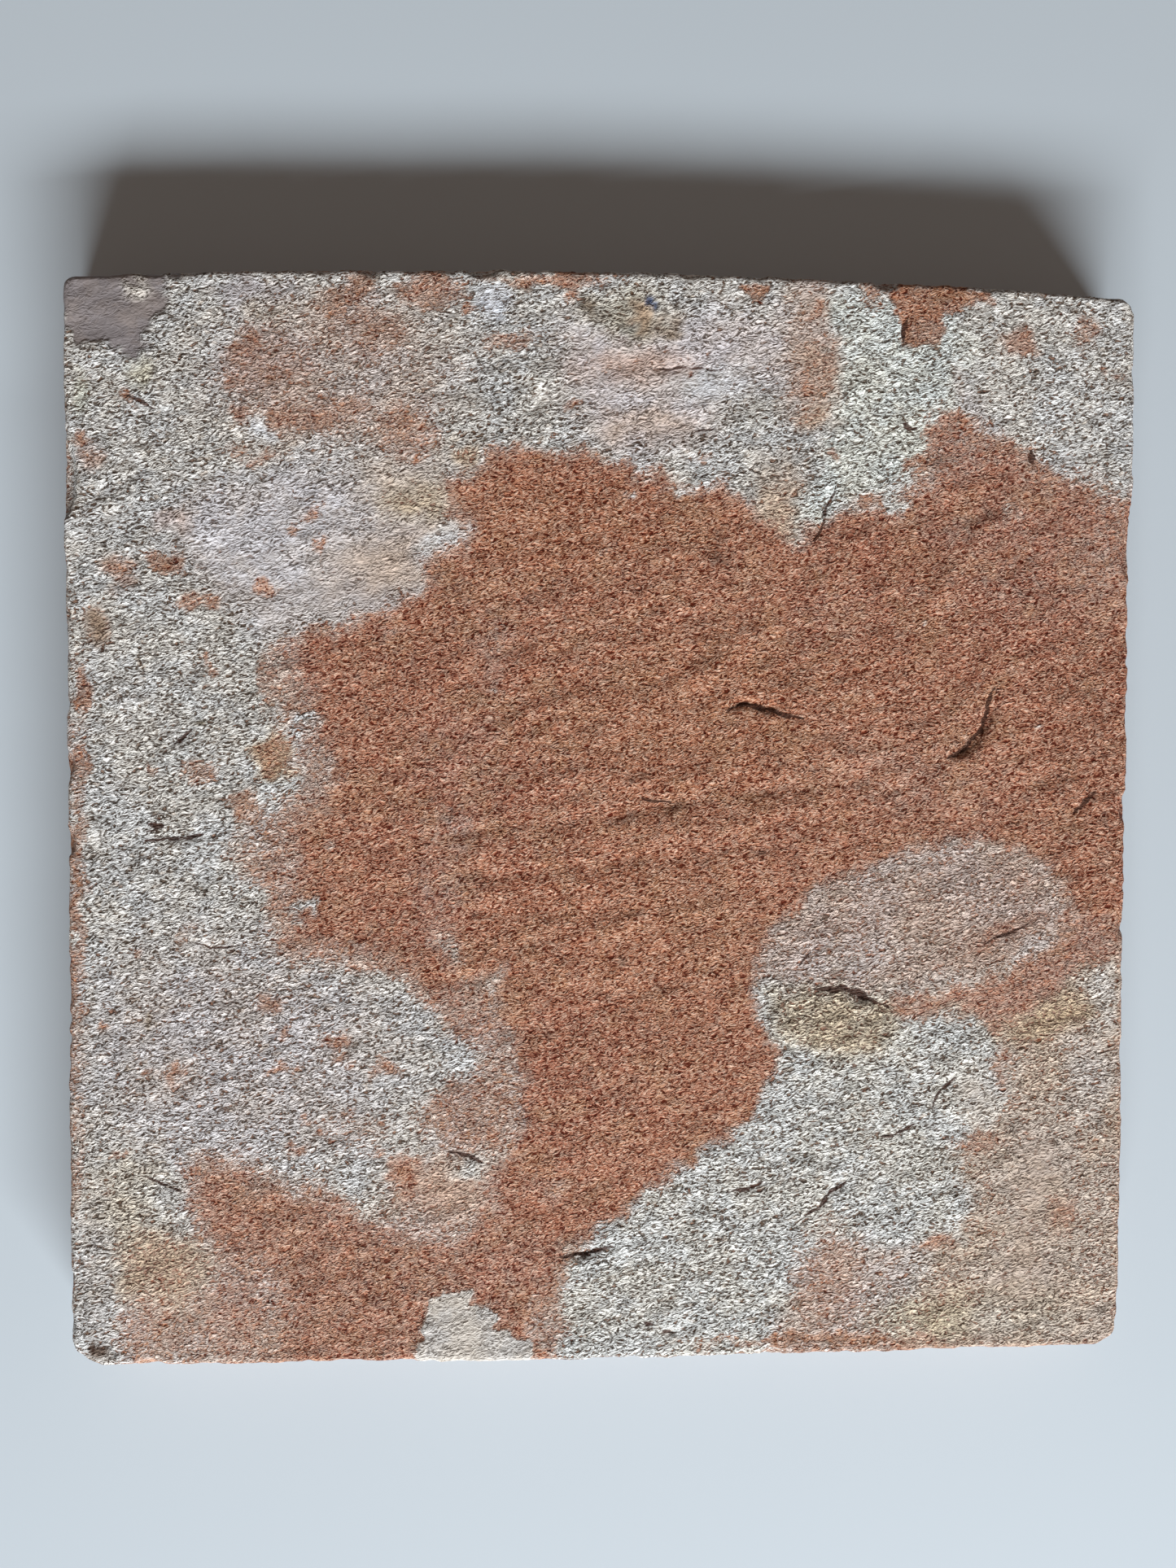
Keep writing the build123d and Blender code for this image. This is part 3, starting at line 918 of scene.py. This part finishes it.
def clayGroup():
    inputs = {"Place": "Vector", "Fresh": "Float", "Haze": "Float", "Stain": "Float"}
    tree, given, made = newGroup("firedClay", inputs, {"Color": "Color", "Height": "Float"})
    place = given["Place"]
    grain, tone = gritGrain(tree, place, clay["grain"])
    flecks = speckle(tree, place, clay["fleckSize"], 3, 0.65)
    mottle = speckle(tree, place, clay["mottleSize"], 3, 0.65)
    broad = speckle(tree, place, clay["broadSize"], 2, 0.5)
    color = mixColors(tree, ease(tree, broad, *clay["plainMask"]), clay["red"], clay["plain"])
    layers = [
        (ease(tree, mottle, *clay["tanMask"]), "tan"),
        (ease(tree, flecks, *clay["greyMask"]), "grey"),
        (given["Fresh"], "fresh"),
        (ease(tree, tone, *clay["toneMask"]), "buffAndHighlight"),
        # painted highlight: the grains' tops are paler
        (ease(tree, grain, *clay["topHighlightMask"]), "buffAndHighlight"),
        (calc(tree, "MULTIPLY", given["Haze"], ease(tree, flecks, *clay["dustMask"])), "dust"),
        (calc(tree, "MULTIPLY", given["Stain"], ease(tree, flecks, *clay["stainMask"])), "stain"),
    ]
    for share, name in layers:
        color = mixColors(tree, share, color, clay[name])
    # painted shade: the clay's colour is darkened where its grain is low
    hollowShade = mixColors(tree, ease(tree, grain, *clay["hollowShadeMask"]), clay["hollowShade"], (1, 1, 1, 1))
    tree.links.new(mixColors(tree, 1.0, color, hollowShade, "MULTIPLY"), made["Color"])
    tree.links.new(calc(tree, "MULTIPLY", grain, clay["height"]), made["Height"])
    return tree


firedClay = clayGroup()


def backMaterial():
    material, tree = newMaterial("clayAndLime")
    place = put(tree, "TexCoord").outputs["Object"]
    cover, stain = field(tree, "cover"), field(tree, "stain")
    patchy = ease(tree, speckle(tree, place, lime["patchSize"]), *lime["patchMask"])
    coarse = calc(tree, "MULTIPLY", field(tree, "coarse"), patchy)
    haze = calc(tree, "MAXIMUM", field(tree, "haze"), ease(tree, cover, *lime["dustMask"]))
    inputs = {"Place": place, "Fresh": field(tree, "fresh"), "Haze": haze, "Stain": stain}
    under = put(tree, "Group", inputs, node_tree=firedClay)

    grain, tone = gritGrain(tree, place, lime["grain"])
    flecks = speckle(tree, place, lime["fleckSize"], 3, 0.65)
    smear = ease(tree, speckle(tree, place, lime["smearSize"]), *lime["smearMask"])
    smear = calc(tree, "MULTIPLY", smear, ease(tree, cover, *lime["smearCover"]))
    pit = ease(tree, speckle(tree, place, lime["pitSize"], 1, 0.5), *lime["pitMask"])
    pit = calc(tree, "MULTIPLY", pit, coarse)
    # painted shade in the lime's hollows and pits, browner where clay dust lies in them
    dustyShade = ease(tree, speckle(tree, place, lime["dustyShadeSize"], 2, 0.6), *lime["dustyShadeMask"])
    dark = mixColors(tree, dustyShade, lime["hollowShade"], lime["dustyShade"])
    depth = ease(tree, grain, *lime["hollowShadeMask"])
    depth = calc(tree, "MULTIPLY", depth, ease(tree, coarse, *lime["hollowShadeCoarse"]))
    depth = calc(tree, "MULTIPLY", depth, ease(tree, smear, 0.0, 1.0, 1.0, lime["smearHollowShade"]))
    hollowShade = mixColors(tree, depth, (1, 1, 1, 1), dark)
    hollowShade = mixColors(tree, pit, hollowShade, lime["pit"])
    top = mixColors(tree, ease(tree, cover, *lime["tanMask"]), field(tree, "tint", "Color"), clay["tan"])
    hue = ease(tree, speckle(tree, place, lime["hueSize"], 4, 0.65), *lime["hueMask"])
    hue = mixColors(tree, hue, lime["cool"], lime["warm"])
    top = mixColors(tree, 1.0, top, hue, "MULTIPLY")
    top = scaled(tree, top, calc(tree, "MULTIPLY_ADD", smear, lime["smearLight"], 1.0))
    # the bright tone of some grains is their own; the crest is a painted highlight
    bright = calc(tree, "MULTIPLY", ease(tree, tone, *lime["toneMask"]), coarse)
    crestHighlight = calc(tree, "MULTIPLY", ease(tree, grain, *lime["crestHighlightMask"]), coarse)
    top = scaled(tree, top, calc(tree, "ADD", calc(tree, "ADD", bright, crestHighlight), 1.0))
    sandy = calc(tree, "MULTIPLY", ease(tree, tone, *lime["sandMask"]), coarse)
    top = mixColors(tree, sandy, top, lime["sand"])
    top = mixColors(tree, 1.0, top, hollowShade, "MULTIPLY")
    top = mixColors(tree, calc(tree, "MULTIPLY", stain, lime["stainShare"]), top, clay["stain"])

    shift = calc(tree, "MULTIPLY_ADD", flecks, 1 - lime["grainShare"], -0.5)
    shift = calc(tree, "MULTIPLY_ADD", grain, lime["grainShare"], shift)
    share = ease(tree, calc(tree, "MULTIPLY_ADD", shift, lime["spread"], cover), *lime["edgeMask"])
    color = mixColors(tree, share, under.outputs["Color"], top)
    limeHeight = calc(tree, "MULTIPLY", pit, -lime["pitDepth"])
    limeHeight = calc(tree, "MULTIPLY_ADD", grain, lime["height"], limeHeight)
    limeHeight = calc(tree, "MULTIPLY", limeHeight, ease(tree, smear, 0.0, 1.0, 1.0, lime["smearHeight"]))
    height = mixValues(tree, share, under.outputs["Height"], limeHeight)
    height = calc(tree, "MULTIPLY", height, coarse)
    height = calc(tree, "MULTIPLY_ADD", share, lime["step"], height)

    # painted shade along the cracks and the floors of the gouges, in the stain colour
    gap = calc(tree, "ABSOLUTE", field(tree, "crackSide"))
    width = calc(tree, "MULTIPLY", field(tree, "crackWidth"), ease(tree, flecks, *crackLook["wander"]))
    crackShade = ease(tree, calc(tree, "SUBTRACT", gap, width), *crackLook["edgeMask"])
    crackShade = calc(tree, "MULTIPLY", crackShade, ease(tree, width, *crackLook["endMask"]))
    color = mixColors(tree, calc(tree, "MULTIPLY", crackShade, crackLook["dark"]), color, clay["stain"])
    inputs = {"Specular IOR Level": clay["specular"], "Normal": putBump(tree, height)}
    putSurface(tree, color, clay["roughness"], inputs)
    return material


glaze = {
    "white": linear(222, 222, 215),
    "dull": linear(214, 215, 210),
    "craze": linear(176, 166, 148),
    "edgeHeight": 1.1,  # mm above the face, where the glaze ends
    "edgeWave": 1.6,  # mm, as are the sizes below
    "edgeSoft": 0.1,
    "waveSize": 5.0,
    "waveHeight": 0.05,
    "crazeSize": 9.0,
    "dullMask": (0.45, 0.7),
    "crazeMask": (0.012, 0.0, 0.0, 0.4),  # shares of a cell
    "roughness": 0.16,
}


def glazeMaterial():
    material, tree = newMaterial("tinGlaze")
    place = put(tree, "TexCoord").outputs["Object"]
    inputs = {"Place": place, "Fresh": sidePaint["fresh"], "Haze": sidePaint["haze"]}
    under = put(tree, "Group", inputs, node_tree=firedClay)
    height = put(tree, "SeparateXYZ", {0: place}).outputs["Z"]
    wave = speckle(tree, place, glaze["waveSize"])
    lowest = glaze["edgeHeight"] - glaze["edgeWave"] / 2
    end = calc(tree, "MULTIPLY_ADD", wave, glaze["edgeWave"] * mm, lowest * mm)
    soft = glaze["edgeSoft"] * mm
    clayShare = ease(tree, calc(tree, "SUBTRACT", height, end), -soft, soft)
    white = mixColors(tree, ease(tree, wave, *glaze["dullMask"]), glaze["white"], glaze["dull"])
    craze = put(tree, "TexVoronoi", {"Vector": place, "Scale": 1 / (glaze["crazeSize"] * mm)},
                feature="DISTANCE_TO_EDGE").outputs[0]
    white = mixColors(tree, ease(tree, craze, *glaze["crazeMask"]), white, glaze["craze"])
    color = mixColors(tree, clayShare, white, under.outputs["Color"])
    waves = calc(tree, "MULTIPLY", wave, glaze["waveHeight"])
    bumpHeight = mixValues(tree, clayShare, waves, under.outputs["Height"])
    rough = ease(tree, clayShare, 0, 1, glaze["roughness"], clay["roughness"])
    putSurface(tree, color, rough, {"Normal": putBump(tree, bumpHeight)})
    return material


# The map that colours are baked through: the back's grid, a strip for each side, and the face in the corner
bakeMap = {"margin": 0.004, "back": 0.776, "strips": (0.79, 0.895), "stripWidth": 0.1, "face": 0.2}


def layBakeMap(mesh):
    cells = skin["cells"]
    margin, span, width = bakeMap["margin"], bakeMap["back"] / cells, bakeMap["stripWidth"] / len(belts)
    maps = [margin + span * np.stack([backFaces % (cells + 1), backFaces // (cells + 1)], -1)]
    side, start = np.divmod(np.arange(4 * cells), cells)
    along = margin + span * (start[:, None] + np.array([0, 0, 1, 1]))
    strip = np.array(bakeMap["strips"])[side % 2][:, None]
    for ring in range(len(belts)):
        down = width * (ring + np.array([0, 1, 1, 0]))
        level = np.stack([along, strip + bakeMap["stripWidth"] - down], -1)
        upright = np.stack([strip + down, along], -1)
        maps.append(np.where((side < 2)[:, None, None], level, upright))
    corners = points[np.concatenate(faceFaces), :2] / np.abs(base[loops[-1], :2]).max()
    maps.append(bakeMap["strips"][0] + bakeMap["face"] / 2 * (1 + corners * (-1, 1)))
    layer = mesh.uv_layers.new(name="OFBake")
    places = np.concatenate([m.reshape(-1, 2) for m in maps])
    layer.uv.foreach_set("vector", places.astype(np.float32).ravel())


def makeTile():
    belt = np.concatenate(belts)
    faces = backFaces.tolist() + belt.tolist() + faceFaces
    mesh = bpy.data.meshes.new("tileSkin")
    mesh.from_pydata((points * mm).tolist(), [], faces)
    mesh.update()
    smooth = np.arange(len(faces)) < len(faces) - len(faceFaces)  # all but the flat face
    mesh.polygons.foreach_set("use_smooth", smooth)
    for name, values in fields.items():
        if name == "tint":
            values = np.column_stack([values, np.ones(len(values))])
            values = np.concatenate([values, np.ones((len(facePoints), 4))])
            layer = mesh.attributes.new(name, "FLOAT_COLOR", "POINT")
            layer.data.foreach_set("color", values.astype(np.float32).ravel())
        elif name != "thick":
            values = np.concatenate([values, np.zeros(len(facePoints))])
            layer = mesh.attributes.new(name, "FLOAT", "POINT")
            layer.data.foreach_set("value", values.astype(np.float32))
    layBakeMap(mesh)
    mesh.materials.append(backMaterial())
    mesh.materials.append(glazeMaterial())
    glazed = len(backFaces) + (skin["rimRings"] + skin["sideRings"]) * 4 * skin["cells"]
    slots = np.zeros(len(faces), np.int32)
    slots[glazed:] = 1
    mesh.polygons.foreach_set("material_index", slots)
    tile = bpy.data.objects.new("tileSkin", mesh)
    bpy.context.scene.collection.objects.link(tile)
    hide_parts("tile")
    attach(tile, "root")
    mesh.calc_loop_triangles()
    print("tile made,", len(mesh.loop_triangles), "triangles")


makeTile()

stage = {
    "floorSize": 6.0,  # m
    "floor": (0.545, 0.635, 0.71, 1),
    "floorRoughness": 0.7,
    "floorSpecular": 0.2,
    "fill": (0.142, 0.103, 0.08, 1),
    "backdrop": (0.66, 0.70, 0.74, 1),
    "windowPlace": (0.2, -1.18, 0.59),  # m
    "windowSize": (1.22, 0.25),  # m
    "windowPower": 36.5,  # W
}


def makeStage():
    half = stage["floorSize"] / 2
    mesh = bpy.data.meshes.new("floor")
    corners = [(-half, -half, 0), (half, -half, 0), (half, half, 0), (-half, half, 0)]
    mesh.from_pydata(corners, [], [(0, 1, 2, 3)])
    material, tree = newMaterial("floor")
    inputs = {"Specular IOR Level": stage["floorSpecular"]}
    putSurface(tree, stage["floor"], stage["floorRoughness"], inputs)
    mesh.materials.append(material)
    floor = bpy.data.objects.new("floor", mesh)
    bpy.context.scene.collection.objects.link(floor)

    data = bpy.data.lights.new("window", "AREA")
    data.shape = "RECTANGLE"
    data.size, data.size_y = stage["windowSize"]
    data.energy = stage["windowPower"]
    lamp = bpy.data.objects.new("window", data)
    lamp.location = stage["windowPlace"]
    lamp.rotation_euler = Vector(stage["windowPlace"]).to_track_quat("Z", "Y").to_euler()
    bpy.context.scene.collection.objects.link(lamp)

    world = bpy.data.worlds.new("room")
    world.use_nodes = True
    tree = world.node_tree
    tree.nodes.clear()
    rays = put(tree, "LightPath")
    seen = calc(tree, "MAXIMUM", rays.outputs["Is Camera Ray"], rays.outputs["Is Glossy Ray"])
    seen = calc(tree, "MAXIMUM", seen, rays.outputs["Is Transmission Ray"])
    color = mixColors(tree, seen, stage["fill"], stage["backdrop"])
    light = put(tree, "Background", {"Color": color, "Strength": 1.0})
    put(tree, "OutputWorld", {"Surface": light.outputs[0]})
    bpy.context.scene.world = world


makeStage()
bpy.context.scene.view_settings.view_transform = "Standard"
print("stage set")
